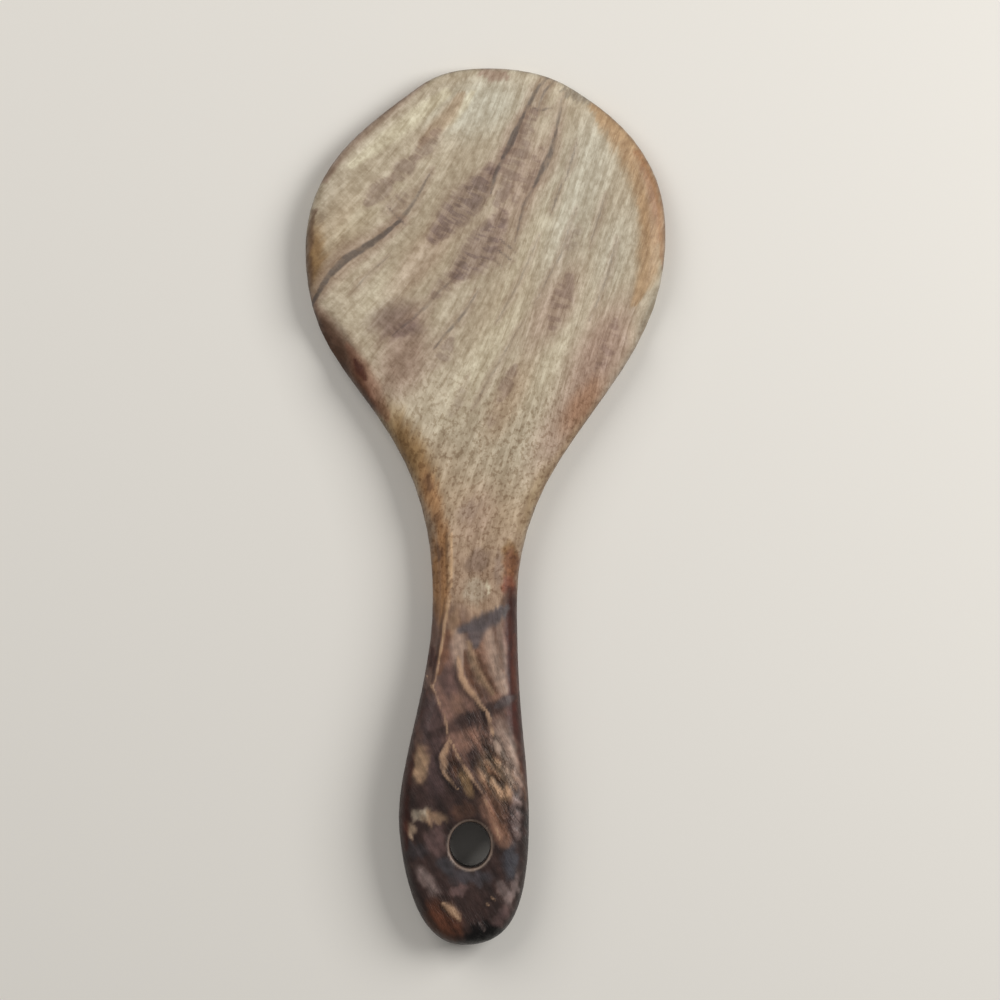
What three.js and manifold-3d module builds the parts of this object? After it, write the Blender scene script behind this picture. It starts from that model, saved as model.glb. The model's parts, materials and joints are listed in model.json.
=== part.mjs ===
// A serving spoon carved from one piece of wood: a round, nearly flat blade, a waisted neck and a swelling
// handle with a hanging hole near its end. Millimetres. The spoon lies on its back on z = 0, +Y runs from the
// handle to the blade's tip and +Z comes out of the blade's face. The origin is under the middle of its box.
import * as THREE from "three";
import { mergeVertices } from "three/addons/utils/BufferGeometryUtils.js";
import Module from "manifold-3d";

// Plan: lengths along the spoon, widths across it, and how far each middle lies to the right of the blade's
const OVERALL_LENGTH = 200;
const TIP_SHIFT = 0;
const SHOULDER_FROM_TIP = 5;
const LEFT_SHOULDER_OUT = 16.4;
const RIGHT_SHOULDER_OUT = 20.3;
const LEFT_SHOULDER_SLOPE = 37.5;
const RIGHT_SHOULDER_SLOPE = 33;
const BLADE_WIDTH = 82.4;
const LEFT_CREST_FROM_TIP = 41.6;
const RIGHT_CREST_FROM_TIP = 38;
const NECK_WIDTH = 19.2;
const NECK_SHIFT = -2.4;
const NECK_FROM_TIP = 122;
const HANDLE_WIDTH = 29.7;
const HANDLE_SHIFT = -4.95;
const SWELL_FROM_END = 29.2;
const END_SHIFT = -5.2;

// How far each cubic stretch of the outline runs straight on from its two ends, as shares of its chord.
// The stretches go from the tip over the crown and the shoulder, down the flare, along the grip and round
// the heel.
const LEFT_PULLS = {
  crown: [0.52, 0.26],
  shoulder: [0.28, 0.46],
  flare: [0.4, 0.55],
  grip: [0.35, 0.25],
  heel: [0.18, 0.38],
};
const RIGHT_PULLS = {
  crown: [0.42, 0.3],
  shoulder: [0.2, 0.52],
  flare: [0.4, 0.43],
  grip: [0.55, 0.25],
  heel: [0.7, 0.31],
};

// Side view: thickness of the wood at each place along the spoon
const TIP_THICKNESS = 6.5;
const BLADE_THICKNESS = 8.5;
const NECK_THICKNESS = 11.5;
const HANDLE_THICKNESS = 13;
const END_THICKNESS = 11.5;
const BLADE_MIDDLE_FROM_TIP = 45;
const HANDLE_MIDDLE_FROM_END = 45;

// Edges: how far in from the outline the rounding of the face and of the back reaches
const BLADE_FACE_EASE = 7.5;
const NECK_FACE_EASE = 6;
const HANDLE_FACE_EASE = 5.5;
const BACK_EASE = 5;
const FACE_ROUNDNESS = 2.6;
const BACK_ROUNDNESS = 2.2;

// Hanging hole: an oval bore whose two rims are rounded over
const HOLE_WIDTH = 9.4;
const HOLE_LENGTH = 10.5;
const HOLE_SHIFT = -3.5;
const HOLE_FROM_END = 22.9;
const HOLE_RIM = 0.6;

// Fineness of the facets
const ROWS = 60;
const COLUMNS = 22;
const OUTLINE_STEPS = 48;
const HOLE_SIDES = 32;
const RIM_STEPS = 4;

const TIP_Y = OVERALL_LENGTH / 2;
const END_Y = -OVERALL_LENGTH / 2;
const NECK_Y = TIP_Y - NECK_FROM_TIP;
const SWELL_Y = END_Y + SWELL_FROM_END;

// A node of the outline and the way in which the outline passes it, in degrees below straight across.
function node(x, y, side, slope) {
  const angle = THREE.MathUtils.degToRad(slope);
  const heading = new THREE.Vector2(side * Math.cos(angle), -Math.sin(angle));
  return { at: new THREE.Vector2(x, y), heading };
}

// The cubic stretch of the outline from one node to the next.
function stretch(from, to, [leave, arrive]) {
  const chord = from.at.distanceTo(to.at);
  const first = from.at.clone().addScaledVector(from.heading, chord * leave);
  const second = to.at.clone().addScaledVector(to.heading, -chord * arrive);
  return new THREE.CubicBezierCurve(from.at, first, second, to.at);
}

// Points of one side of the plan outline from the tip to the handle's end, side -1 for left and 1 for right.
function outlineSide(side, shoulderOut, shoulderSlope, crestFromTip, pulls) {
  const nodes = [
    node(TIP_SHIFT, TIP_Y, side, 0),
    node(side * shoulderOut, TIP_Y - SHOULDER_FROM_TIP, side, shoulderSlope),
    node((side * BLADE_WIDTH) / 2, TIP_Y - crestFromTip, side, 90),
    node(NECK_SHIFT + (side * NECK_WIDTH) / 2, NECK_Y, side, 90),
    node(HANDLE_SHIFT + (side * HANDLE_WIDTH) / 2, SWELL_Y, side, 90),
    node(END_SHIFT, END_Y, side, 180),
  ];
  const stretches = [pulls.crown, pulls.shoulder, pulls.flare, pulls.grip, pulls.heel];
  const points = stretches.flatMap((pull, i) =>
    stretch(nodes[i], nodes[i + 1], pull).getPoints(OUTLINE_STEPS).slice(0, -1),
  );
  return [...points, nodes.at(-1).at];
}

const leftSide = outlineSide(
  -1,
  LEFT_SHOULDER_OUT,
  LEFT_SHOULDER_SLOPE,
  LEFT_CREST_FROM_TIP,
  LEFT_PULLS,
);
const rightSide = outlineSide(
  1,
  RIGHT_SHOULDER_OUT,
  RIGHT_SHOULDER_SLOPE,
  RIGHT_CREST_FROM_TIP,
  RIGHT_PULLS,
);
const outline = [...leftSide, ...rightSide.slice(1, -1).reverse()];

// Where one side of the outline crosses the line at y.
function crossing(sidePoints, y) {
  const below = Math.max(1, sidePoints.findIndex((point) => point.y <= y));
  const [upper, lower] = [sidePoints[below - 1], sidePoints[below]];
  return THREE.MathUtils.mapLinear(y, upper.y, lower.y, upper.x, lower.x);
}

// Distance from a point of the plan to the nearest stretch of the outline.
function depthInside(x, y) {
  const point = new THREE.Vector3(x, y, 0);
  const nearest = new THREE.Vector3();
  const edge = new THREE.Line3();
  const distances = outline.map((corner, i) => {
    const next = outline[(i + 1) % outline.length];
    edge.start.set(corner.x, corner.y, 0);
    edge.end.set(next.x, next.y, 0);
    return edge.closestPointToPoint(point, true, nearest).distanceTo(point);
  });
  return Math.min(...distances);
}

// A size that passes smoothly from station to station along the spoon, each station being [y, size].
function along(stations, y) {
  const after = stations.findIndex(([stationY]) => stationY <= y);
  if (after === 0) return stations[0][1];
  if (after < 0) return stations.at(-1)[1];
  const [[upperY, upper], [lowerY, lower]] = [stations[after - 1], stations[after]];
  return THREE.MathUtils.lerp(lower, upper, THREE.MathUtils.smoothstep(y, lowerY, upperY));
}

const thicknessAt = (y) =>
  along(
    [
      [TIP_Y, TIP_THICKNESS],
      [TIP_Y - BLADE_MIDDLE_FROM_TIP, BLADE_THICKNESS],
      [NECK_Y, NECK_THICKNESS],
      [END_Y + HANDLE_MIDDLE_FROM_END, HANDLE_THICKNESS],
      [END_Y, END_THICKNESS],
    ],
    y,
  );

const faceEaseAt = (y) =>
  along(
    [
      [TIP_Y - BLADE_MIDDLE_FROM_TIP, BLADE_FACE_EASE],
      [NECK_Y, NECK_FACE_EASE],
      [END_Y + HANDLE_MIDDLE_FROM_END, HANDLE_FACE_EASE],
    ],
    y,
  );

// Share of the full height that a rounded edge has reached at a depth inside the outline.
function swellOf(depth, ease, roundness) {
  const short = 1 - Math.min(depth / ease, 1);
  return (1 - short ** roundness) ** (1 / roundness);
}

// Heights of the face and the back over a point of the plan. They meet at half the thickness on the outline.
function heights(x, y) {
  const depth = depthInside(x, y);
  const edge = thicknessAt(y) / 2;
  const face = edge * (1 + swellOf(depth, faceEaseAt(y), FACE_ROUNDNESS));
  const back = edge * (1 - swellOf(depth, BACK_EASE, BACK_ROUNDNESS));
  return { face, back };
}

// One closed section of the spoon at y: across the face from left to right, then back underneath.
function section(y) {
  const left = crossing(leftSide, y);
  const right = crossing(rightSide, y);
  const [middle, halfWidth] = [(left + right) / 2, (right - left) / 2];
  const across = Array.from({ length: COLUMNS + 1 }, (_, column) => {
    const x = middle - halfWidth * Math.cos((Math.PI * column) / COLUMNS);
    return { x, ...heights(x, y) };
  });
  const edges = thicknessAt(y) / 2;
  const faceRow = across.map(({ x, face }, column) => [x, y, column % COLUMNS ? face : edges]);
  const backRow = across.slice(1, -1).map(({ x, back }) => [x, y, back]);
  return [...faceRow, ...backRow.reverse()];
}

// The whole blank: sections crowded towards both ends, closed by a point at the tip and at the handle's end.
function spoonBlank() {
  const sections = Array.from({ length: ROWS - 1 }, (_, row) =>
    section(TIP_Y * Math.cos((Math.PI * (row + 1)) / ROWS)),
  );
  const ring = 2 * COLUMNS;
  const tip = sections.length * ring;
  const end = tip + 1;
  const points = [...sections.flat(), [TIP_SHIFT, TIP_Y, TIP_THICKNESS / 2]];
  points.push([END_SHIFT, END_Y, END_THICKNESS / 2]);
  const triangles = [];
  for (let i = 0; i < ring; i += 1) {
    const next = (i + 1) % ring;
    triangles.push([tip, i, next]);
    for (let row = 0; row + 1 < sections.length; row += 1) {
      const [upper, lower] = [row * ring, (row + 1) * ring];
      triangles.push([upper + i, lower + i, lower + next], [upper + i, lower + next, upper + next]);
    }
    const last = (sections.length - 1) * ring;
    triangles.push([end, last + next, last + i]);
  }
  const geometry = new THREE.BufferGeometry();
  geometry.setAttribute("position", new THREE.Float32BufferAttribute(points.flat(), 3));
  geometry.setIndex(triangles.flat());
  return geometry;
}

// The tool for the hanging hole: a bore that flares into a quarter round where it leaves each face.
function holeCutter() {
  const holeY = END_Y + HOLE_FROM_END;
  const thickness = thicknessAt(holeY);
  const radius = HOLE_WIDTH / 2;
  const rim = (faceHeight, out) =>
    Array.from({ length: RIM_STEPS + 1 }, (_, step) => {
      const turn = (Math.PI / 2) * (step / RIM_STEPS);
      const flare = HOLE_RIM * (1 - Math.cos(turn));
      return new THREE.Vector2(radius + flare, faceHeight - out * HOLE_RIM * (1 - Math.sin(turn)));
    });
  const clear = radius + HOLE_RIM;
  const profile = [
    new THREE.Vector2(0, -HOLE_RIM),
    new THREE.Vector2(clear, -HOLE_RIM),
    ...rim(0, -1).reverse(),
    ...rim(thickness, 1),
    new THREE.Vector2(clear, thickness + HOLE_RIM),
    new THREE.Vector2(0, thickness + HOLE_RIM),
  ];
  const cutter = new THREE.LatheGeometry(profile, HOLE_SIDES);
  cutter.rotateX(Math.PI / 2);
  cutter.scale(1, HOLE_LENGTH / HOLE_WIDTH, 1);
  cutter.translate(HOLE_SHIFT, holeY, 0);
  return cutter;
}

const wasm = await Module();
wasm.setup();

function solidOf(geometry) {
  const bare = new THREE.BufferGeometry();
  bare.setAttribute("position", geometry.getAttribute("position"));
  bare.setIndex(geometry.getIndex());
  const merged = mergeVertices(bare);
  return new wasm.Manifold(
    new wasm.Mesh({
      numProp: 3,
      vertProperties: new Float32Array(merged.getAttribute("position").array),
      triVerts: new Uint32Array(merged.getIndex().array),
    }),
  );
}

function geometryOf(solid) {
  const { vertProperties, triVerts } = solid.getMesh();
  const geometry = new THREE.BufferGeometry();
  geometry.setAttribute("position", new THREE.BufferAttribute(vertProperties, 3));
  geometry.setIndex(new THREE.BufferAttribute(triVerts, 1));
  geometry.computeVertexNormals();
  return geometry;
}

const lacqueredWood = new THREE.MeshStandardMaterial({ color: 0xa58b68, roughness: 0.42, metalness: 0 });

const spoon = new THREE.Mesh(geometryOf(solidOf(spoonBlank()).subtract(solidOf(holeCutter()))), lacqueredWood);
spoon.name = "spoon";

const part = new THREE.Group();
part.add(spoon);

export default part;
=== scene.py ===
# The looks of a serving spoon carved from one board: pale, streaked wood in the blade that turns to dark
# heartwood in the handle, under a satin lacquer. Places and sizes are in millimetres of the spoon's frame:
# x to the right, y towards the blade's tip, z up out of the face.
import json
import math
from types import SimpleNamespace

import bpy
import numpy as np
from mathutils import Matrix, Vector, noise


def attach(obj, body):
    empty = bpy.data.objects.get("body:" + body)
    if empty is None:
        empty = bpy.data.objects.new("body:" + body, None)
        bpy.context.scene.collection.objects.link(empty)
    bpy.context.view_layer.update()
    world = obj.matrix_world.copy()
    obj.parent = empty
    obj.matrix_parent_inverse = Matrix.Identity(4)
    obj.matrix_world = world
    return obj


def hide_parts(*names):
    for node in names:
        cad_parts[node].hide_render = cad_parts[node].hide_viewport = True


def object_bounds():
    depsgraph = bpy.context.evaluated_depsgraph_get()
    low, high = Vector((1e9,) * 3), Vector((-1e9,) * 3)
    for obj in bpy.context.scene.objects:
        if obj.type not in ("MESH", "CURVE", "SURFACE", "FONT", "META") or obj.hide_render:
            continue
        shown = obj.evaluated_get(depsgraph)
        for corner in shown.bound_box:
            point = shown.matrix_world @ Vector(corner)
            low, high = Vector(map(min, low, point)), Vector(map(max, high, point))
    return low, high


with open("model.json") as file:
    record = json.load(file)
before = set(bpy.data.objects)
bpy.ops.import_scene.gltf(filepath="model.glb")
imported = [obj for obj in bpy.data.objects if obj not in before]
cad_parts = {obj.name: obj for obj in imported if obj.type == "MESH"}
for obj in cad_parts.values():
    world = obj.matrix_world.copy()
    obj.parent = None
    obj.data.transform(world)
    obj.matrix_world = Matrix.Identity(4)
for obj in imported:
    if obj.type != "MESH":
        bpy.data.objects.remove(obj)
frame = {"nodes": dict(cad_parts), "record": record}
cad_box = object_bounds()

MM = 0.001
SPOON = "spoon"

# The camera looks straight down on the face, as the photograph does
VIEW_WIDTH = 228.3
VIEW_CENTRE = (3.3, 1.4)
OUTLINE_HEIGHT = 5.0
LENS = 250.0
SENSOR = 36.0

# The floor and the room's light
FLOOR_HALF = 3.0
FLOOR_COLOUR = (226, 223, 217)
FLOOR_ROUGHNESS = 0.8
ROOM_COLOUR = (1.0, 0.98, 0.96, 1.0)
ROOM_STRENGTH = 0.22

# Lamps: name, place in metres, watts, size in metres, tint
LAMPS = [
    ("window", (0.62, 0.22, 0.55), 5.8, 0.5, (1.0, 0.99, 0.97)),
    ("fill", (-0.5, 0.5, 0.7), 4.2, 0.7, (1.0, 0.98, 0.95)),
]

# The fine mesh that stands for the spoon: the step between its points, and the pulls that relax it
VOXEL = 0.5
RELAX_ROUNDS = 40
RELAX_PULLS = [0.5, -0.52]

# Colours of the wood, as they show in plain light, in sRGB bytes; some of them are also laid down as painted
# shade, highlight and reflection
COLOURS = {
    "straw": (180, 168, 149),
    "cream": (201, 193, 171),
    "chalk": (192, 188, 174),
    "sand": (168, 150, 127),
    "tan": (172, 152, 130),
    "fawn": (156, 133, 114),
    "ochre": (134, 106, 72),
    "honey": (164, 135, 104),
    "amber": (146, 102, 72),
    "rust": (114, 64, 45),
    "rose": (166, 141, 128),
    "mauve": (151, 130, 116),
    "dim": (116, 98, 91),
    "plum": (92, 73, 72),
    "heart": (98, 75, 67),
    "bark": (124, 95, 80),
    "dusk": (48, 36, 34),
    "umber": (80, 55, 42),
    "maroon": (50, 18, 12),
    "slate": (52, 49, 52),
    "ink": (10, 8, 8),
    "nut": (164, 122, 84),
    "husk": (140, 115, 93),
    "olive": (136, 110, 80),
    "violet": (69, 54, 54),
    "clay": (140, 105, 88),
    "ginger": (112, 73, 48),
    "dove": (120, 106, 104),
    "steel": (68, 68, 75),
    "russet": (98, 68, 53),
    "cocoa": (80, 49, 36),
    "sandal": (152, 130, 117),
    "bone": (204, 172, 136),
    "lead": (80, 73, 75),
    "flake": (168, 137, 112),
    "silver": (152, 134, 123),
}

# Ground colour along the spoon, from the tip to the end of the handle
GROUND = [
    (100.0, "straw"),
    (14.0, "straw"),
    (-2.0, "tan"),
    (-14.0, "fawn"),
    (-24.0, "fawn"),
    (-29.0, "heart"),
    (-56.0, "heart"),
    (-66.0, "dusk"),
    (-100.0, "dusk"),
]

# Soft clouds of colour: colour, middle, half length and half width, turn in degrees, strength
CLOUDS = [
    ("chalk", (-2.0, 91.0), (14, 8), 20, 0.85),
    ("chalk", (21.0, 72.0), (24, 8), 72, 0.7),
    ("chalk", (29.0, 58.0), (12, 5), 76, 0.5),
    ("sand", (-34.0, 60.0), (14, 8), 60, 0.6),
    ("sand", (-14.0, 57.0), (12, 6), 50, 0.5),
    ("sand", (3.0, 44.0), (16, 6), 60, 0.35),
    ("cream", (-27.0, 67.0), (12, 2.6), 44, 0.4),
    ("cream", (-10.0, 62.0), (20, 2.4), 50, 0.45),
    ("cream", (-22.0, 51.0), (13, 3), 44, 0.4),
    ("cream", (10.0, 58.0), (22, 2.8), 64, 0.4),
    ("cream", (0.0, 34.0), (20, 4.5), 58, 0.55),
    ("cream", (13.0, 31.0), (14, 3.4), 60, 0.4),
    ("rose", (-15.0, 56.0), (14, 4), 50, 0.4),
    ("rose", (8.0, 72.0), (16, 5), 66, 0.4),
    ("rose", (15.0, 45.0), (14, 5), 62, 0.5),
    ("rose", (26.0, 34.0), (17, 7), 62, 0.85),
    ("rose", (18.0, 18.0), (15, 6), 58, 0.65),
    ("amber", (22.0, 23.0), (9, 3.4), 56, 0.5),
    ("mauve", (-18.5, 33.0), (11, 7), 62, 0.9),
    ("mauve", (-19.4, 41.4), (8, 5.4), 40, 0.8),
    ("dim", (-21.6, 43.0), (6.4, 3.8), 25, 0.55),
    ("dim", (-18.6, 40.0), (4.8, 2.2), 10, 0.9),
    ("tan", (5.0, 24.0), (13, 4), 62, 0.8),
    ("ochre", (-17.5, 13.0), (13, 4.6), 118, 0.95),
    ("ochre", (-39.0, 57.0), (9, 2.8), 88, 0.95),
    ("ochre", (11.5, 2.0), (10, 3), 70, 0.4),
    ("rose", (-2.0, -2.0), (8, 5), 70, 0.4),
    ("dim", (-4.0, -1.0), (4, 2.5), 40, 0.3),
    ("nut", (-12.4, 2.0), (9, 2.6), 104, 0.8),
]

# Blotches of the neck and handle, with firmer and wandering edges: as the clouds
BLOTCHES = [
    ("umber", (-12.8, 5.4), (2.6, 1.3), 100, 0.5),
    ("umber", (-11.0, -3.4), (3.0, 1.3), 100, 0.4),
    ("nut", (-10.4, -15.0), (15, 2.9), 90, 0.9),
    ("umber", (-11.0, -10.6), (2.6, 1.2), 110, 0.5),
    ("dim", (-1.8, -12.8), (4.4, 2.8), 50, 0.4),
    ("dim", (2.8, -14.5), (5.0, 1.2), 88, 0.4),
    ("chalk", (-2.4, -19.4), (3.8, 3.4), 80, 0.4),
    # A painted highlight on the neck
    ("cream", (0.6, -18.4), (2.0, 0.7), 100, 0.8),
    ("husk", (-7.2, -26.4), (4.4, 1.9), 80, 0.75),
    ("ochre", (5.6, -10.6), (3.0, 1.9), 90, 0.9),
    ("ginger", (5.8, -13.4), (5.0, 2.3), 90, 0.95),
    ("amber", (5.4, -15.2), (2.0, 1.4), 90, 0.7),
    ("rust", (5.3, -18.0), (2.8, 2.0), 90, 0.9),
    ("umber", (5.2, -22.4), (4.2, 2.2), 90, 0.9),
    ("violet", (-8.4, -39.6), (5.4, 2.8), 105, 0.55),
    ("bark", (-6.4, -45.0), (3.6, 2.0), 112, 0.5),
    ("maroon", (-12.2, -35.0), (3.6, 1.4), 98, 0.8),
    ("dusk", (-4.5, -48.5), (3.2, 2.1), 30, 0.7),
    ("dusk", (0.4, -46.2), (3.0, 1.5), 28, 0.5),
    ("violet", (-12.4, -49.0), (9.0, 3.8), 100, 0.9),
    ("violet", (-11.4, -61.0), (7.5, 3.2), 90, 0.9),
    ("husk", (-14.8, -58.8), (5.2, 2.6), 86, 0.95),
    ("clay", (-3.2, -53.2), (4.6, 3.2), 20, 0.3),
    ("dusk", (-2.4, -58.0), (3.0, 2.3), 100, 1.0),
    ("silver", (4.0, -54.6), (7.0, 4.2), 105, 0.7),
    ("husk", (2.6, -62.0), (8.0, 4.8), 116, 0.8),
    ("clay", (1.8, -69.5), (6.0, 3.8), 116, 0.65),
    ("clay", (3.4, -74.4), (4.4, 2.6), 116, 0.75),
    # Grey strip down the handle's right edge: painted reflection, the lacquer's sheen
    ("silver", (7.0, -58.0), (8.0, 1.6), 96, 0.55),
    ("dove", (7.2, -70.0), (8.0, 1.5), 91, 0.7),
    ("russet", (9.0, -62.0), (8.0, 1.0), 96, 0.8),
    ("olive", (-4.4, -62.8), (4.6, 1.6), 118, 0.8),
    ("umber", (-4.8, -69.2), (4.0, 2.6), 15, 0.5),
    ("straw", (-14.6, -70.0), (2.8, 1.9), 25, 0.7),
    ("husk", (-11.6, -71.0), (3.8, 1.8), 350, 0.75),
    ("tan", (-17.3, -73.4), (2.8, 1.6), 110, 0.7),
    ("plum", (-11.4, -76.0), (4.4, 3.2), 90, 0.7),
    ("slate", (-15.6, -78.4), (3.2, 2.4), 10, 0.7),
    ("slate", (-8.8, -81.8), (4.0, 2.3), 140, 1.0),
    ("steel", (-3.0, -84.6), (6.0, 2.3), 4, 0.6),
    # Bluish grey at the right edge: partly the dark wood, partly painted reflection of the lacquer's sheen
    ("steel", (5.6, -80.6), (5.0, 2.4), 92, 0.9),
    ("dove", (-13.2, -85.4), (6.0, 2.0), 126, 0.65),
    ("plum", (-6.0, -87.8), (2.8, 1.8), 20, 0.9),
    ("dove", (3.9, -87.0), (2.8, 1.6), 110, 0.6),
    # Grey on the lower right edge: painted reflection, the lacquer's sheen
    ("dove", (6.2, -87.4), (5.6, 1.3), 72, 0.8),
    ("plum", (3.6, -93.6), (4.4, 1.8), 55, 0.7),
    ("cocoa", (-9.6, -94.6), (6.8, 4.8), 122, 0.95),
    ("ink", (0.2, -98.2), (6.0, 4.0), 8, 1.0),
]

# Painted streaks: colour, half width, strength, points that they follow
STREAKS = [
    # Grey-mauve along the blade's top left edge: partly the wood's own, partly painted shade on the bevel
    # there
    ("mauve", 2.6, 0.9, [(-14.7, 97.0), (-20.7, 92.6), (-27.5, 87.4), (-32.9, 82.0), (-37.6, 74.0)]),
    ("cream", 2.3, 0.95, [(-9.0, 94.0), (-13.4, 91.1), (-18.4, 87.0), (-22.9, 83.6), (-31.0, 77.5)]),
    ("cream", 1.3, 0.8, [(-3.0, 94.6), (-6.5, 90.0), (-11.0, 85.0)]),
    ("tan", 2.0, 0.8, [(-5.6, 94.0), (-9.6, 88.0), (-15.0, 82.5)]),
    ("mauve", 1.8, 0.8, [(-1.5, 98.4), (4.5, 97.8)]),
    ("slate", 1.3, 0.25, [(17.0, 95.0), (23.0, 92.0)]),
    ("honey", 3.8, 0.9, [
        (24.5, 91.0), (28.5, 86.5), (32.3, 82.0), (35.2, 76.7), (37.2, 69.0), (38.0, 61.0),
    ]),
    ("honey", 2.6, 0.85, [(35.5, 70.0), (37.2, 62.0), (36.8, 53.0), (34.0, 46.0)]),
    ("amber", 1.4, 0.5, [(34.0, 81.0), (37.8, 73.0), (40.0, 63.0), (40.0, 55.0)]),
    # Down the blade's left and lower left edge: browns that are partly the wood's own and partly painted
    # shade where the edge rounds over
    ("umber", 1.6, 0.5, [(-39.6, 67.0), (-41.2, 58.0), (-40.8, 50.0), (-39.0, 43.0)]),
    ("bark", 5.4, 0.7, [(-41.0, 46.0), (-37.4, 39.0), (-33.6, 33.4), (-30.0, 28.0), (-26.0, 22.0)]),
    ("umber", 3.0, 0.75, [(-40.6, 44.0), (-37.4, 38.6), (-33.8, 33.6), (-30.4, 28.6), (-26.6, 23.0)]),
    ("rust", 2.6, 0.35, [(-31.6, 36.0), (-28.4, 31.0), (-25.4, 26.0), (-22.6, 20.0)]),
    ("maroon", 1.3, 0.6, [(-30.2, 33.2), (-28.8, 31.2), (-27.4, 29.0)]),
    ("honey", 2.2, 0.75, [(28.0, 25.0), (22.6, 17.5), (17.0, 9.5), (12.0, 1.0)]),
    ("maroon", 2.4, 0.6, [(5.9, -19.0), (6.0, -29.0), (6.3, -40.0), (7.6, -51.0), (9.8, -62.0)]),
    ("maroon", 2.6, 0.7, [(5.9, -22.0), (6.0, -30.6), (6.1, -38.6), (6.8, -47.0), (8.2, -53.0)]),
    ("rust", 0.9, 0.4, [(6.6, -29.0), (6.8, -36.0), (7.0, -44.0)]),
    ("russet", 1.4, 0.8, [(-8.6, -28.6), (-9.4, -33.0), (-10.6, -38.0)]),
    ("bark", 3.6, 0.8, [(-1.6, -29.0), (0.4, -36.0), (2.4, -43.0)]),
    ("dusk", 1.9, 0.65, [(-13.0, -52.2), (-7.2, -50.2), (-2.0, -48.2), (2.6, -45.6), (6.2, -43.6)]),
    ("lead", 1.3, 0.6, [(2.4, -45.4), (6.0, -43.4)]),
    ("sandal", 2.4, 0.95, [(-6.2, -28.4), (-5.8, -32.0), (-5.7, -36.8)]),
    ("flake", 0.9, 0.85, [(-6.0, -34.4), (-5.6, -38.4), (-4.2, -41.0), (-2.2, -43.6), (-0.2, -46.2)]),
    ("husk", 1.3, 0.85, [(-3.8, -31.0), (-2.8, -35.6), (-0.8, -39.2), (1.6, -42.6)]),
    ("sandal", 2.2, 0.95, [(0.2, -27.4), (1.4, -32.0), (2.8, -37.0), (4.4, -42.4)]),
    ("sandal", 1.2, 0.6, [(3.0, -26.4), (3.6, -30.6), (4.4, -35.6)]),
    ("umber", 0.8, 0.85, [(-4.6, -33.0), (-4.3, -36.8), (-2.8, -40.0), (-0.8, -43.2)]),
    ("umber", 0.8, 0.8, [(-2.2, -32.6), (-1.0, -36.0), (0.8, -39.2), (2.6, -42.4)]),
    ("umber", 0.6, 0.4, [(2.2, -28.6), (3.0, -33.0), (4.0, -37.6)]),
    ("lead", 2.0, 0.95, [(5.0, -23.0), (2.2, -25.2), (-1.0, -26.4), (-5.6, -28.2)]),
    ("lead", 2.0, 0.9, [(-0.4, -26.6), (-2.3, -28.8), (-2.2, -31.6)]),
    # Dark band down the handle's left edge: partly the wood's maroon, partly painted shade
    ("maroon", 1.7, 0.8, [(-14.0, -42.0), (-17.2, -53.0), (-18.4, -61.0), (-18.8, -68.0), (-18.4, -78.0)]),
    ("dove", 0.7, 0.7, [(-15.0, -82.6), (-13.2, -84.6), (-11.0, -87.6)]),
    ("husk", 1.2, 0.75, [(-9.7, -90.3), (-7.7, -91.9), (-6.0, -93.9)]),
    ("dove", 0.5, 0.5, [(-1.4, -94.6), (-0.4, -96.6)]),
    ("bone", 0.5, 0.8, [(-8.0, -6.0), (-7.9, -11.0), (-7.8, -15.0), (-8.0, -18.6)]),
    ("bone", 0.4, 0.6, [(-8.2, -20.0), (-8.9, -25.0), (-9.8, -31.0), (-10.6, -36.0)]),
    ("flake", 1.0, 0.8, [(-8.6, -54.4), (-9.5, -57.0), (-9.0, -60.0)]),
    ("umber", 0.7, 0.9, [(-7.3, -56.4), (-7.0, -59.0), (-6.8, -61.2)]),
    ("silver", 1.0, 0.8, [(2.0, -53.4), (3.6, -55.4), (4.6, -57.4)]),
    ("husk", 0.9, 0.8, [(1.2, -56.6), (2.8, -58.6), (4.0, -60.8)]),
    ("silver", 0.9, 0.7, [(3.6, -58.6), (5.2, -61.0), (6.0, -63.4)]),
    ("husk", 1.0, 0.7, [(1.6, -61.4), (3.2, -63.8), (4.6, -66.6)]),
    ("clay", 0.8, 0.7, [(0.2, -67.6), (2.2, -71.6), (3.6, -75.6)]),
    ("umber", 0.6, 0.8, [(0.4, -54.4), (2.0, -56.4), (4.2, -58.6)]),
    ("umber", 0.6, 0.8, [(0.2, -58.4), (1.8, -60.6), (3.8, -63.0)]),
    ("umber", 0.6, 0.7, [(-0.6, -62.4), (1.4, -66.0), (3.6, -70.0)]),
    ("umber", 0.6, 0.7, [(1.2, -67.0), (3.0, -70.8), (4.8, -75.0)]),
]

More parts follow.
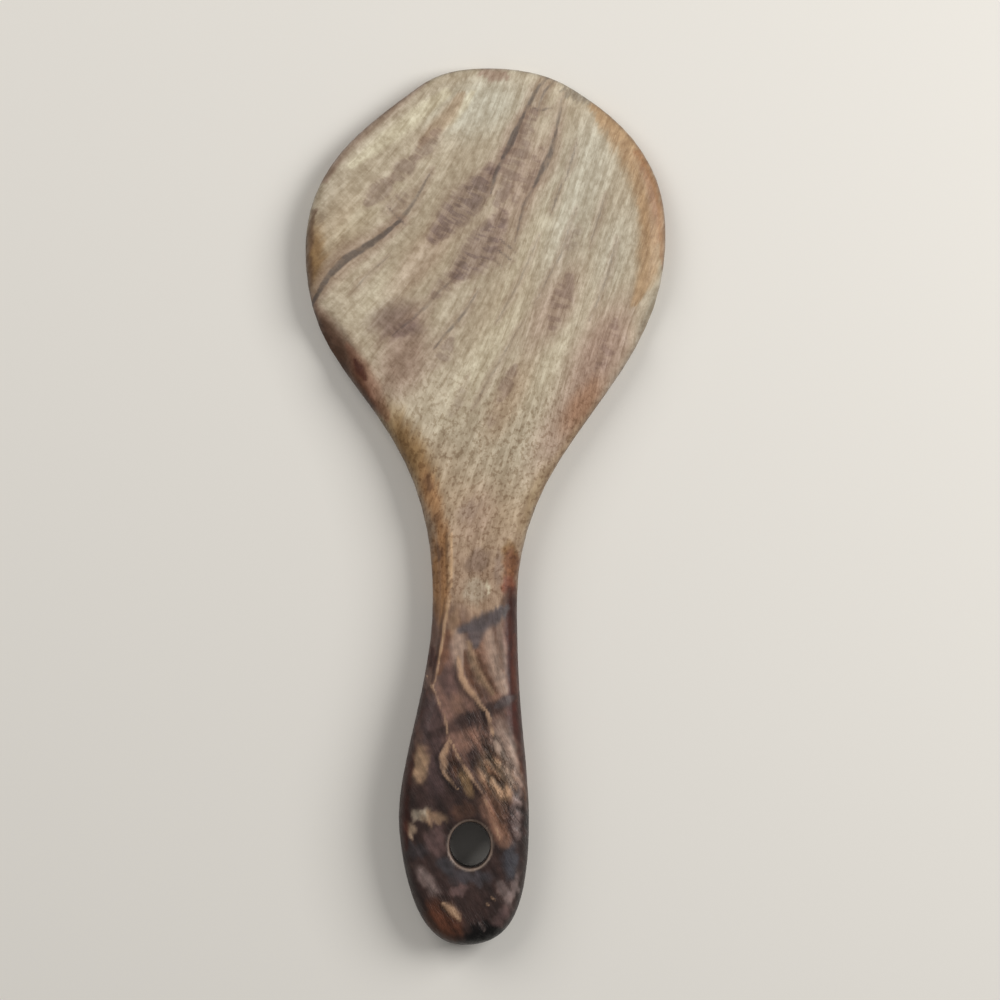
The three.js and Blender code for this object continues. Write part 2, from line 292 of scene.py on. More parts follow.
# Places where the figure is drawn by the material with comb-like edges: half width, strength, points
PATCHES = [
    (2.6, 0.8, [(-11.0, 85.6), (-13.6, 82.2), (-16.0, 79.6)]),
    (2.8, 0.8, [(-16.6, 79.0), (-19.1, 76.3), (-21.0, 74.8)]),
    (2.8, 0.85, [(-21.6, 74.2), (-24.0, 72.0), (-27.0, 69.0)]),
    (2.4, 0.5, [(-17.5, 71.5), (-23.5, 66.5)]),
    (2.6, 0.9, [(6.4, 82.6), (2.6, 77.6), (-0.6, 74.4)]),
    (4.2, 1.35, [(0.8, 76.0), (-3.4, 70.6), (-7.2, 66.4), (-11.8, 61.2)]),
    (4.4, 1.35, [(3.6, 66.0), (0.4, 60.4), (-2.9, 55.9), (-6.6, 52.4)]),
    (2.6, 0.7, [(-6.5, 53.5), (-12.0, 47.6)]),
    (3.0, 0.9, [(10.6, 89.6), (8.2, 83.6), (6.4, 78.0), (4.9, 73.5), (2.6, 69.0)]),
    (2.6, 0.6, [(12.4, 81.0), (9.4, 75.0), (6.4, 69.0)]),
    (2.4, 0.7, [(-21.4, 39.0), (-18.6, 40.4), (-16.0, 42.4)]),
    (2.2, 0.75, [(-7.8, 38.0), (-9.4, 34.6), (-11.8, 32.0)]),
    (3.2, 0.75, [(19.0, 52.0), (17.2, 46.6), (15.2, 41.0)]),
    (2.8, 0.6, [(29.5, 42.0), (28.0, 36.0), (25.0, 30.0)]),
    (2.0, 0.75, [(6.8, 31.8), (4.8, 27.6), (3.0, 24.0)]),
    (1.8, 0.5, [(2.4, 22.0), (0.8, 18.0)]),
    (1.5, 0.5, [(-4.0, 29.4), (-6.2, 23.6), (-8.0, 20.6)]),
    (2.4, 0.5, [(21.0, 63.0), (18.6, 58.0)]),
]

# Dark lines of the blade: half width, strength, points
LINES = [
    (0.7, 0.75, [(-12.4, 76.4), (-17.0, 68.3), (-20.2, 64.4), (-24.0, 61.2)]),
    (1.1, 1.15, [(-19.8, 64.8), (-25.0, 60.5), (-32.1, 56.2), (-36.0, 52.2), (-40.2, 45.4)]),
    (0.5, 0.8, [(-22.4, 68.0), (-18.2, 63.8)]),
    (0.45, 0.6, [(-20.4, 70.6), (-18.0, 68.4)]),
    (0.7, 0.8, [(14.2, 98.2), (11.5, 95.0), (9.6, 91.6), (7.2, 86.8)]),
    (0.9, 1.15, [(8.6, 89.6), (6.6, 85.4), (5.0, 81.6), (3.6, 79.0)]),
    (0.7, 0.8, [(4.4, 80.2), (2.2, 76.0), (1.0, 71.0)]),
    (0.5, 0.7, [(15.6, 97.4), (12.8, 94.0), (11.4, 88.6)]),
    (0.45, 0.7, [(9.6, 91.0), (12.0, 90.0), (15.0, 90.6)]),
    (0.6, 0.7, [(17.2, 93.5), (16.2, 87.4), (15.6, 84.0)]),
    (1.0, 0.9, [(15.9, 85.6), (14.6, 80.2), (12.4, 75.8), (10.8, 72.6)]),
    (0.6, 0.75, [(11.2, 73.4), (8.6, 68.6), (6.6, 60.0)]),
    (0.45, 0.7, [(20.6, 83.0), (19.4, 78.6), (18.0, 74.0)]),
    (0.45, 0.7, [(17.4, 74.0), (14.6, 66.0)]),
    (0.45, 0.6, [(27.2, 71.0), (25.6, 65.4), (23.6, 59.0)]),
    (0.6, 0.62, [(-5.8, 53.0), (-10.6, 49.0), (-13.6, 45.4), (-17.2, 42.2), (-21.4, 38.8)]),
    (0.6, 0.7, [(-1.8, 49.0), (-4.5, 44.5), (-6.7, 41.8), (-8.8, 39.5), (-11.8, 35.8)]),
    (0.5, 0.7, [(3.0, 61.0), (7.0, 57.6)]),
    (0.5, 0.7, [(2.2, 58.8), (6.2, 55.6)]),
    (0.45, 0.6, [(1.0, 56.6), (4.0, 54.4)]),
    (0.45, 0.6, [(20.6, 68.0), (17.0, 57.0), (11.0, 46.0)]),
    (0.45, 0.6, [(12.4, 62.0), (7.6, 51.0), (2.0, 41.0)]),
    (0.45, 0.6, [(30.0, 62.0), (27.6, 52.0), (23.6, 42.0)]),
    (0.45, 0.6, [(8.5, 42.0), (2.0, 31.0), (-3.0, 22.0)]),
    (0.45, 0.6, [(-22.0, 57.0), (-27.0, 52.6), (-31.0, 48.0)]),
]

# The pale arris along the left of the neck: half width, strength, points
ARRIS = [
    (0.6, 0.8, [(-8.0, -6.0), (-7.9, -11.0), (-7.8, -15.0), (-8.0, -18.4)]),
    (0.45, 0.8, [(-8.3, -20.4), (-9.0, -25.0), (-10.0, -32.0), (-11.0, -37.8), (-11.8, -41.4)]),
]

# Pale torn flakes of the handle: half width, strength, points
FLAKES = [
    (0.9, 0.9, [(-6.0, -34.6), (-5.6, -38.4), (-4.4, -40.8), (-2.4, -43.2), (-0.4, -46.0)]),
    (0.6, 0.5, [(-3.0, -32.6), (-2.0, -35.6), (-0.6, -38.6), (1.6, -41.8)]),
    (0.7, 0.9, [(0.4, -46.4), (1.0, -49.2), (1.8, -52.4)]),
    (0.5, 0.8, [(-13.4, -38.6), (-11.4, -42.6), (-9.3, -47.6), (-8.3, -52.8)]),
    (0.8, 0.85, [
        (-8.2, -53.0), (-9.7, -55.8), (-10.1, -57.5), (-9.3, -60.6), (-7.6, -62.7), (-6.4, -64.2),
    ]),
    (0.6, 0.9, [(-7.8, -53.4), (-6.3, -56.9), (-4.5, -59.7), (-2.4, -62.7), (-0.2, -65.7)]),
    (0.6, 0.6, [(-2.4, -62.7), (-0.2, -66.4), (1.4, -70.6), (3.6, -76.4)]),
    (0.5, 0.5, [(-2.4, -52.0), (-1.4, -55.0)]),
    (0.9, 0.8, [(-9.7, -90.3), (-7.7, -91.9), (-6.0, -93.9)]),
    (0.5, 0.6, [(1.2, -88.8), (2.2, -89.6)]),
    (0.5, 0.6, [(0.2, -90.2), (0.8, -91.0)]),
]

# How far the flakes are whole, how dark the painted shadow to their left is, and the step to there
FLAKE_WHOLE = 0.8
FLAKE_SHADOW_TONE = 0.5
FLAKE_SHADOW_STEP = (0.9, 0.35)

# Noise that the figure and the relief follow: how far it goes, the size of its waves, its seed
NOISES = {
    "uneven": (0.16, 21.0, 1),
    "knife": (0.05, 7.0, 2),
    "ground": (2.5, 5.0, 3),
    "feathers": (1.3, 1.0, 4),
    "fine_feathers": (0.6, 0.45, 5),
    "ripple": (0.35, 1.8, 6),
    "ribs": (1.0, 1.7, 7),
    "fine_ribs": (1.0, 1.02, 8),
    "rib_bends": (0.5, 2.4, 12),
    "heart_strands": (0.3, 2.0, 13),
    "heart_spots": (0.16, 1.1, 14),
    "flames": (1.2, 1.9, 15),
    "fine_flames": (0.6, 0.8, 16),
    "flake_breaks": (0.7, 2.2, 17),
    "blotch_edges": (0.7, 1.6, 20),
    "streak_edges": (0.4, 2.2, 24),
}
SEED_STEP = (17.3, 5.9, 11.1)

# Soft edges, as shares of the half width: from where the colour is full to where it is gone
STROKE_EDGE = (0.35, 1.35)
CLOUD_EDGE = (0.25, 1.25)

# The width that a stroke keeps at its ends, and how firm a blotch's edge is
STROKE_END = 0.45
BLOTCH_EDGE = (0.05, 0.9)

# The soft mauve around patches and lines: its strength and its width, as shares of theirs
PATCH_HALO = (0.4, 1.2)
LINE_HALO = (0.5, 3.0)

# How the fibres run, in degrees from straight across. Each turn goes from one place to another: by x in the
# blade, by y in the handle, and by y from the handle's way of running to the blade's.
BLADE_ANGLES = (44, 72)
BLADE_TURN = (-38, 14)
HANDLE_ANGLES = (62, 116)
HANDLE_TURN = (22, -62)
GRAIN_JOIN = (0, 34)

# Following the fibres: the step and the reach to each side and along the spoon, the height where the two
# ways of running meet, how tightly the blade's fibres lie, and the stretches over which the places are joined
GRAIN_STEP = 0.25
GRAIN_REACH = 60.0
GRAIN_LENGTH = 110.0
GRAIN_MEETING = 12.0
BLADE_TOP = 100.0
BLADE_TIGHTNESS = 0.45
ACROSS_JOIN = (-2, 36)
ALONG_JOIN = (-20, 30)

# Size of a strand of fibres: across, along and down
STRAND = (0.7, 9.0, 3.0)

# Where the figure changes along the spoon: the dark heartwood, and the specks, with their least strength
HEART_START = (-20, -32)
SPECKLE_START = (44, 12)
SPECKLE_END = (-28, -18)
SPECKLE_LEAST = 0.3

# The slant of the ground colour's changes, and the blade's lower left edge, where streaks stay smooth
GROUND_SLANT = 0.35
SMOOTH_EDGE_X = (-20, -26)
SMOOTH_EDGE_Y = (50, 44)

# How much of the fibres' ripple the lines and flakes share
LINE_RIPPLE = 0.3

# How the figure leans as it goes down through the wood from the face
FACE_HEIGHT = 9.0
LEAN = (0.15, 0.1)

# How dark the painted shade is where the surface turns to the side, and over which slopes it turns
SIDE_SHADE = 0.62
SIDE_SLOPES = (0.15, 0.95)

# The map on which colours can be baked: its width, the steps to the face and the back, and how far walls fold
# out
UNFOLD_WIDTH = 212.0
UNFOLD_STEP = 50.0
UNFOLD_SHARE = 0.6
UNFOLD_ROW = 1.0

# The hanging hole's rim, with a painted highlight on it
HOLE_RADII = (5.0, 5.6)
RIM_WIDTH = 0.4
RIM_HIGHLIGHT_STRENGTH = 0.6

# Which heights and slopes count as the face, from not at all to fully
FACE_HEIGHTS = (5, 9)
FACE_SLOPES = (0.1, 0.6)

# The flat to the left of the arris: its slope and width, and where it fades in and out
SLOPE = 0.24
SLOPE_WIDTH = 4.0
SLOPE_START = (2, -10)
SLOPE_END = (-43, -36)

# How high the flakes stand, and the strengths over which they rise
FLAKE_RISE = 0.22
FLAKE_RAMP = (0.1, 0.9)

# Torn, rippled grain of the handle: middle, half length and half width, turn, strength
RIPPLES = [
    ((3.2, -62.0), (18.0, 5.4), 113, 1.0),
    ((-0.5, -37.0), (10.0, 5.5), 112, 0.18),
    ((-6.5, -60.0), (6.0, 3.6), 114, 0.6),
    ((-9.5, -92.0), (8.0, 4.5), 124, 0.35),
    ((0.0, -96.5), (6.0, 4.0), 125, 0.4),
]

# Its ribs: how drawn out they are along and down, their flanks, the share of the broad ones, the level
# between ridge and groove, the depth, and how strongly painted shade in the grooves and painted light on the
# ridges follow them
RIB_LENGTH = 3.4
RIB_DROP = 3.0
RIB_FLANK = (0.0, 0.45)
BROAD_SHARE = 1.5
RIB_LEVEL = 1.2
RIB_DEPTH = 0.26
RIB_SHADING = 0.4

# Flats that the knife left on the rim: a point on the flat, the way it faces, and its reach
FLATS = [
    ((35.6, 44.0, 6.2), (0.62, -0.3, 0.72), 9.0),
    ((-24.5, 86.6, 7.2), (-0.42, 0.46, 0.78), 15.0),
    ((-33.4, 37.0, 6.6), (-0.55, -0.3, 0.78), 9.0),
]
FLAT_DEPTH = 3.0
FLAT_CORE = 0.3

# Fibre patterns of the material: waves to a millimetre across and along, detail, and the part of the noise
# that is spread from 0 to 1
FIBRES = {
    "streaks": (0.4, 0.022, 4.0, 0.36, 0.64),
    "threads": (2.2, 0.14, 4.0, 0.32, 0.68),
    "mottle": (0.7, 0.4, 6.0, 0.34, 0.66),
    "bars": (0.17, 0.6, 2.5, 0.36, 0.62),
    "dashes": (1.3, 0.1, 3.0, 0.56, 0.7),
    "flames": (0.45, 0.12, 5.0, 0.4, 0.64),
    "specks": (1.1, 0.9, 4.0, 0.5, 0.62),
}
FIBRE_DROP = 0.5
FIBRE_ROUGHNESS = 0.6

# What each pattern multiplies the colour by where it is 0 and where it is 1
TONES = {
    "mottle": ((0.84, 0.81, 0.78), (1.14, 1.15, 1.17)),
    "streaks": ((0.84, 0.81, 0.78), (1.11, 1.12, 1.13)),
    "threads": ((0.93, 0.92, 0.9), (1.06, 1.07, 1.08)),
    "dashes": ((1.01, 1.01, 1.01), (0.85, 0.82, 0.79)),
    "flames": ((0.97, 0.97, 0.96), (1.2, 1.17, 1.14)),
    "patch": ((1.0, 1.0, 1.0), (0.79, 0.76, 0.78)),
    "patch_core": ((1.0, 1.0, 1.0), (0.74, 0.72, 0.77)),
    "specks": ((1.07, 1.07, 1.06), (0.74, 0.68, 0.62)),
    # The creases' tone is painted shade in the torn grain's creases
    "creases": ((1.02, 1.02, 1.01), (0.8, 0.77, 0.76)),
}

# How much of the mottle and of the lines the heartwood keeps
HEART_MOTTLE = 0.5
HEART_LINES = 0.15

# Combed patches: how far the bars break them, and the edges of the patch and of its core
COMB_RANGE = (0.15, 0.85)
PATCH_EDGE = (0.32, 0.85)
CORE_EDGE = (0.9, 1.7)

# Lines and flakes: how far the mottle breaks them, the edge of what is left, strength, colour
DRAWN = {
    "line": ((0.3, 0.8), (0.2, 1.2), 0.68, "slate"),
    "flake": ((0.35, 0.75), (0.15, 0.9), 0.75, "flake"),
}
FRAY_BASE = 0.45

# Creases between the torn ribs: waves across and along, detail, and width
CREASE_WAVES = (0.6, 0.17, 3.0)
CREASE_WIDTH = 0.09

# The lacquer, its roughness from dull to shiny places, and the fine relief under it, in metres
LACQUER = {"Specular IOR Level": 0.2, "Coat Weight": 0.1, "Coat Roughness": 0.2}
ROUGHNESS = (0.5, 0.38)
THREAD_HEIGHT = 0.4
FINE_BUMP = {"Strength": 0.5, "Distance": 0.0001}
FOLD_BUMP = {"Strength": 0.8, "Distance": 0.0002}


def smooth(low, high, value):
    """A soft step from 0 at low to 1 at high."""
    share = np.clip((value - low) / (high - low), 0, 1)
    return share * share * (3 - 2 * share)


def mix(first, second, share):
    return first + (second - first) * share


def noise_of(points, name, step=0):
    """The named noise at each point."""
    amount, size, seed = NOISES[name]
    shift = Vector(SEED_STEP) * (seed + step)
    return amount * np.array([noise.noise(Vector(point) + shift) for point in points / size])


def wandering(points, name):
    """Steps in x and y that drift from place to place by the named noise."""
    return np.stack([noise_of(points, name), noise_of(points, name, 1)], axis=1)


def along_path(plan, path):
    """Each point's distance from a path, and how far along the path it lies, from 0 to 1."""
    nearest = np.full(len(plan), np.inf)
    share = np.zeros(len(plan))
    stretches = list(zip(path, path[1:]))
    for index, (start, stop) in enumerate(stretches):
        start = np.array(start)
        run = np.array(stop) - start
        step = np.clip((plan - start) @ run / (run @ run), 0, 1)
        distance = np.linalg.norm(plan - start - step[:, None] * run, axis=1)
        closer = distance < nearest
        nearest = np.where(closer, distance, nearest)
        share = np.where(closer, (index + step) / len(stretches), share)
    return nearest, share


def stroke_mask(plan, half_width, path):
    """A stroke that is full in its middle, thins towards both ends and has a soft edge."""
    distance, share = along_path(plan, path)
    width = half_width * mix(STROKE_END, 1, np.sin(math.pi * share))
    return 1 - smooth(*STROKE_EDGE, distance / width)


def strokes_field(plan, strokes):
    """The strongest of all strokes at each point."""
    field = np.zeros(len(plan))
    for half_width, strength, path in strokes:
        field = np.maximum(field, strength * stroke_mask(plan, half_width, path))
    return field


def cloud_mask(plan, middle, size, turn):
    """A soft oval that is turned by so many degrees."""
    angle = math.radians(turn)
    offset = plan - np.array(middle)
    along = offset[:, 0] * math.cos(angle) + offset[:, 1] * math.sin(angle)
    across = offset[:, 1] * math.cos(angle) - offset[:, 0] * math.sin(angle)
    return 1 - smooth(*CLOUD_EDGE, np.hypot(along / size[0], across / size[1]))


def linear(colour):
    """Linear light from sRGB bytes."""
    share = np.asarray(colour, float) / 255
    return np.where(share <= 0.04045, share / 12.92, ((share + 0.055) / 1.055) ** 2.4)


def grain_angle(x, y):
    """The way the fibres run on the face, in degrees from straight across."""
    blade = mix(*BLADE_ANGLES, smooth(*BLADE_TURN, x))
    handle = mix(*HANDLE_ANGLES, smooth(*HANDLE_TURN, y))
    return mix(handle, blade, smooth(*GRAIN_JOIN, y))


def summed(start, reach, slope):
    """The sum of a slope over a reach, counted from a start, as a function's places and values."""
    total = np.cumsum(slope) * GRAIN_STEP
    return reach, total - np.interp(start, reach, total)


def grain_places(plan):
    """Each point's place across and along the fibres, in millimetres."""
    x, y = plan.T
    reach = np.arange(-GRAIN_REACH, GRAIN_REACH + GRAIN_STEP, GRAIN_STEP)
    blade_angle = np.radians(grain_angle(reach, np.full_like(reach, BLADE_TOP)))
    rise = np.interp(x, *summed(0, reach, np.tan(blade_angle)))
    blade = (rise - y + GRAIN_MEETING) * BLADE_TIGHTNESS
    length = np.arange(-GRAIN_LENGTH, GRAIN_LENGTH + GRAIN_STEP, GRAIN_STEP)
    handle_angle = np.radians(grain_angle(np.zeros_like(length), np.minimum(length, 0.0)))
    handle = x - np.interp(y, *summed(GRAIN_MEETING, length, 1 / np.tan(handle_angle)))
    across = mix(handle, blade, smooth(*ACROSS_JOIN, y))
    angle = np.radians(grain_angle(x, y))
    return across, x * np.cos(angle) * smooth(*ALONG_JOIN, y) + y


def lay_out(points):
    """Where each point lies in the figure, plainly and with the edges that its fibres give it."""
    plan = points[:, :2] + np.array(LEAN) * np.minimum(points[:, 2:] - FACE_HEIGHT, 0)
    grain = np.stack([*grain_places(plan), points[:, 2]], axis=1)
    strands = grain / STRAND
    angle = np.radians(grain_angle(*plan.T))
    heading = np.stack([np.cos(angle), np.sin(angle)], axis=1)
    sideways = np.stack([-np.sin(angle), np.cos(angle)], axis=1)
    feathers = noise_of(strands, "feathers") + noise_of(strands, "fine_feathers")
    flames = noise_of(strands, "flames") + noise_of(strands, "fine_flames")
    ripple = noise_of(points, "ripple")[:, None] * sideways
    return SimpleNamespace(
        plan=plan,
        grain=grain,
        strands=strands,
        feathered=plan + feathers[:, None] * heading + ripple,
        flamed=plan + flames[:, None] * heading,
        wavy=plan + LINE_RIPPLE * ripple,
        heart=smooth(*HEART_START, plan[:, 1]),
    )


def fine_body():
    """A copy of the spoon's solid as an even, fine mesh with its facets relaxed away."""
    piece = bpy.data.objects.new("spoon_carved", frame["nodes"][SPOON].data.copy())
    bpy.context.scene.collection.objects.link(piece)
    remesh = piece.modifiers.new("even", "REMESH")
    remesh.mode = "VOXEL"
    remesh.voxel_size = VOXEL * MM
    graph = bpy.context.evaluated_depsgraph_get()
    mesh = bpy.data.meshes.new_from_object(piece.evaluated_get(graph))
    piece.modifiers.clear()
    piece.data = mesh
    mesh.name = piece.name
    relax(mesh)
    return piece


def points_of(mesh):
    flat = np.empty(len(mesh.vertices) * 3)
    mesh.vertices.foreach_get("co", flat)
    return flat.reshape(-1, 3) / MM


def normals_of(mesh):
    flat = np.empty(len(mesh.vertices) * 3)
    mesh.vertex_normals.foreach_get("vector", flat)
    return flat.reshape(-1, 3)


def put_points(mesh, points):
    mesh.vertices.foreach_set("co", (points * MM).ravel())
    mesh.update()


def relax(mesh):
    """Evens out the facets by pulling each point to its neighbours' mean and letting it swell back."""
    ends = np.empty(len(mesh.edges) * 2, int)
    mesh.edges.foreach_get("vertices", ends)
    first, second = ends.reshape(-1, 2).T
    count = len(mesh.vertices)
    here = np.concatenate([first, second])
    there = np.concatenate([second, first])
    degree = np.bincount(here, minlength=count)
    points = points_of(mesh)
    for pull in RELAX_PULLS * RELAX_ROUNDS:
        mean = [np.bincount(here, points[there, axis], count) / degree for axis in range(3)]
        points += pull * (np.array(mean).T - points)
    put_points(mesh, points)


def torn_grain(points):
    """Ridges and grooves where the grain of the handle is torn, from about -1 to 1, and how torn it is."""
    torn, zones = np.zeros(len(points)), np.zeros(len(points))
    bends = noise_of(points, "rib_bends")
    top = smooth(*FACE_HEIGHTS, points[:, 2])
    for middle, size, turn, strength in RIPPLES:
        angle = math.radians(turn)
        across = points[:, :2] @ (-math.sin(angle), math.cos(angle)) + bends
        along = points[:, :2] @ (math.cos(angle), math.sin(angle))
        ribs = np.stack([across, along / RIB_LENGTH, points[:, 2] / RIB_DROP], axis=1)
        broad, narrow = (smooth(*RIB_FLANK, np.abs(noise_of(ribs, name))) for name in ("ribs", "fine_ribs"))
        wave = np.clip(BROAD_SHARE * broad + narrow - RIB_LEVEL, -1, 1)
        zone = strength * cloud_mask(points[:, :2], middle, size, turn) * top
        torn += wave * zone
        zones = np.maximum(zones, zone)
    return torn, zones


def beside_arris(points):
    """How far each point lies to the left of the arris, along the stretch that has a flat there."""
    arris = [point for _, _, path in ARRIS for point in path]
    arris_x, arris_y = np.array(arris[::-1]).T
    beyond = np.interp(points[:, 1], arris_y, arris_x) - points[:, 0]
    run = smooth(*SLOPE_START, points[:, 1]) * smooth(*SLOPE_END, points[:, 1])
    return np.clip(beyond, 0, SLOPE_WIDTH) * run


def cut_flats(points):
    """The points with the rim's flats cut, each one fading out at its reach."""
    for place, facing, reach in FLATS:
        facing = np.array(facing) / np.linalg.norm(facing)
        offset = points - np.array(place)
        near = smooth(reach, FLAT_CORE * reach, np.linalg.norm(offset, axis=1))
        cut = np.clip(offset @ facing, 0, FLAT_DEPTH) * near
        points = points - cut[:, None] * facing
    return points


def carve(mesh, flake, torn):
    """Moves the surface along its normals for the knife work, flakes and ribs, then cuts the rim's flats."""
    points, normals = points_of(mesh), normals_of(mesh)
    face = smooth(*FACE_SLOPES, normals[:, 2])
    relief = FLAKE_RISE * smooth(*FLAKE_RAMP, flake) + RIB_DEPTH * torn - SLOPE * beside_arris(points)
    depth = noise_of(points, "uneven") + noise_of(points, "knife") + relief * face
    low, high = (np.array(corner) / MM for corner in cad_box)
    put_points(mesh, np.clip(cut_flats(points + depth[:, None] * normals), low, high))


def laid(colour, name, mask):
    """The colour with another one laid over it, as strong as the mask."""
    return mix(colour, np.array(COLOURS[name]), mask[:, None])


def ground_colour(points, plan):
    """The colour of the bare ground at each point, along the spoon with a wandering slant."""
    stations = np.array([y for y, _ in GROUND[::-1]])
    tones = np.array([COLOURS[name] for _, name in GROUND[::-1]], float)
    wander = plan[:, 1] + GROUND_SLANT * plan[:, 0] + noise_of(points, "ground")
    return np.array([np.interp(wander, stations, tone) for tone in tones.T]).T


def halo(colour, plan, strokes, share):
    """The colour with a soft mauve around strokes."""
    strength_share, width_share = share
    for half_width, strength, path in strokes:
        mask = stroke_mask(plan, width_share * half_width, path)
        colour = laid(colour, "mauve", strength_share * strength * mask)
    return colour


def paint(points, normals, places, torn):
    """The painted colour at each point, from broad clouds down to single streaks, with painted shade where
    the surface turns to the side and painted shade and light on the torn ribs, as linear light.
    """
    colour = ground_colour(points, places.plan)
    for name, middle, size, turn, strength in CLOUDS:
        colour = laid(colour, name, strength * cloud_mask(places.feathered, middle, size, turn))
    drifted = places.flamed + wandering(points, "blotch_edges")
    for name, middle, size, turn, strength in BLOTCHES:
        mask = smooth(*BLOTCH_EDGE, cloud_mask(drifted, middle, size, turn))
        colour = laid(colour, name, strength * mask)
    winding = places.plan + wandering(points, "streak_edges")
    x, y = places.plan.T
    firm = np.maximum(places.heart, smooth(*SMOOTH_EDGE_X, x) * smooth(*SMOOTH_EDGE_Y, y))
    streaked = mix(places.feathered, winding, firm[:, None])
    for name, half_width, strength, path in STREAKS:
        colour = laid(colour, name, strength * stroke_mask(streaked, half_width, path))
    colour = halo(colour, places.feathered, PATCHES, PATCH_HALO)
    colour = halo(colour, places.feathered, LINES, LINE_HALO)
    clouding = noise_of(places.strands, "heart_strands") + noise_of(points, "heart_spots")
    # Random clouding in the heartwood, and painted shade in the grooves and painted light on the ridges of
    # the torn ribs
    colour *= 1 + (places.heart * clouding + RIB_SHADING * torn)[:, None]
    # Painted shade where the surface turns to the side
    shade = mix(SIDE_SHADE, 1, smooth(*SIDE_SLOPES, np.abs(normals[:, 2])))
    return linear(colour.clip(0, 255)) * shade[:, None]


def rim_highlight_mask(points):
    """The edge of the hanging hole, where a highlight is painted."""
    hole = np.mean(frame["record"]["physics"]["openings"][0]["box_m"], axis=0)[:2] / MM
    reach = np.hypot(*((points[:, :2] - hole) / HOLE_RADII).T)
    return smooth(RIM_WIDTH / HOLE_RADII[0], 0, np.abs(reach - 1))


def unfold(mesh):
    """Lays the face and the back side by side in the map on which the colours can be baked.

    Half of the side wall goes with each, folded outward, so that it keeps some of its height.
    """
    points, normals = points_of(mesh), normals_of(mesh)
    rows = np.round(points[:, 1] / UNFOLD_ROW).astype(int)
    rows -= rows.min()
    crown = np.zeros(rows.max() + 1)
    np.maximum.at(crown, rows, points[:, 2])
    below = crown[rows] - points[:, 2]
    corners = np.empty(len(mesh.loops), int)
    mesh.loops.foreach_get("vertex_index", corners)
    starts = np.empty(len(mesh.polygons), int)
    mesh.polygons.foreach_get("loop_start", starts)
    sides = np.diff(np.append(starts, len(corners)))
    lower = np.add.reduceat((below - points[:, 2])[corners], starts) > 0
    back = np.repeat(lower, sides)
    drop = np.where(back, points[corners, 2], below[corners])
    plan = points[corners, :2] + UNFOLD_SHARE * drop[:, None] * normals[corners, :2]
    plan[:, 0] += np.where(back, UNFOLD_STEP, -UNFOLD_STEP)
    places = mesh.uv_layers.new(name="OFBake")
    places.uv.foreach_set("vector", (plan / UNFOLD_WIDTH + 0.5).astype(np.float32).ravel())


def put_attribute(mesh, name, kind, values):
    layer = mesh.attributes.new(name, kind, "POINT")
    key = {"FLOAT": "value", "FLOAT_VECTOR": "vector", "FLOAT_COLOR": "color"}[kind]
    layer.data.foreach_set(key, np.asarray(values, np.float32).ravel())


def dress(piece):
    """Writes the figure of the wood on the mesh, with painted shade, shadows and highlights, and carves its
    relief.
    """
    mesh = piece.data
    points = points_of(mesh)
    places = lay_out(points)
    top = smooth(*FACE_HEIGHTS, points[:, 2])
    breaks = (FLAKE_WHOLE + noise_of(points, "flake_breaks")).clip(0, 1)
    flake = strokes_field(places.wavy, ARRIS + FLAKES) * top * breaks
    # Where the painted shadow of the flakes and the arris falls
    flake_shadow = strokes_field(places.wavy + np.array(FLAKE_SHADOW_STEP), ARRIS + FLAKES)
    torn, zones = torn_grain(points)
    ground = paint(points, normals_of(mesh), places, torn)
    # Darkens the colour by the painted shadow to the left of the flakes and the arris
    ground *= (1 - FLAKE_SHADOW_TONE * flake_shadow * top * (1 - flake).clip(0, 1))[:, None]
    # A painted highlight around the hanging hole
    ground = mix(ground, linear(COLOURS["silver"]), (RIM_HIGHLIGHT_STRENGTH * rim_highlight_mask(points) * top)[:, None])
    y = places.plan[:, 1]
    fields = {
        "patch": strokes_field(places.plan, PATCHES),
        "line": strokes_field(places.wavy, LINES),
        "flake": flake,
        "heart": places.heart,
        "torn": zones,
        "speckle": mix(SPECKLE_LEAST, 1, smooth(*SPECKLE_START, y)) * smooth(*SPECKLE_END, y),
    }
    # The painted colour, with its painted shade, shadows and highlights
    put_attribute(mesh, "ground", "FLOAT_COLOR", np.c_[ground, np.ones(len(points))])
    put_attribute(mesh, "grain", "FLOAT_VECTOR", places.grain)
    for name, values in fields.items():
        put_attribute(mesh, name, "FLOAT", values)
    carve(mesh, flake, torn)
    unfold(mesh)
    mesh.polygons.foreach_set("use_smooth", np.ones(len(mesh.polygons), bool))


def add_node(tree, kind, inputs, **settings):
    """A new node with its settings, each input linked to a socket or set to a value."""
    new = tree.nodes.new(kind)
    for name, value in settings.items():
        setattr(new, name, value)
    for name, value in inputs.items():
        if isinstance(value, bpy.types.NodeSocket):
            tree.links.new(value, new.inputs[name])
        else:
            new.inputs[name].default_value = value
    return new


def attribute(tree, name, output="Fac"):
    return add_node(tree, "ShaderNodeAttribute", {}, attribute_name=name).outputs[output]


def ramp(tree, value, low, high, start=0.0, stop=1.0):
    """The value's way from low to high, as a soft step from start to stop."""
    ends = {"Value": value, "From Min": low, "From Max": high, "To Min": start, "To Max": stop}
    return add_node(tree, "ShaderNodeMapRange", ends, interpolation_type="SMOOTHSTEP").outputs["Result"]


def scaled(tree, value, start, stop):
    """A value from 0 to 1 as a soft step from start to stop."""
    return ramp(tree, value, 0.0, 1.0, start, stop)


def maths(tree, operation, *values):
    return add_node(tree, "ShaderNodeMath", dict(enumerate(values)), operation=operation).outputs[0]


def blend(tree, factor, first, second, mode="MIX"):
    inputs = {0: factor, 6: first, 7: second}
    return add_node(tree, "ShaderNodeMix", inputs, data_type="RGBA", blend_type=mode).outputs[2]


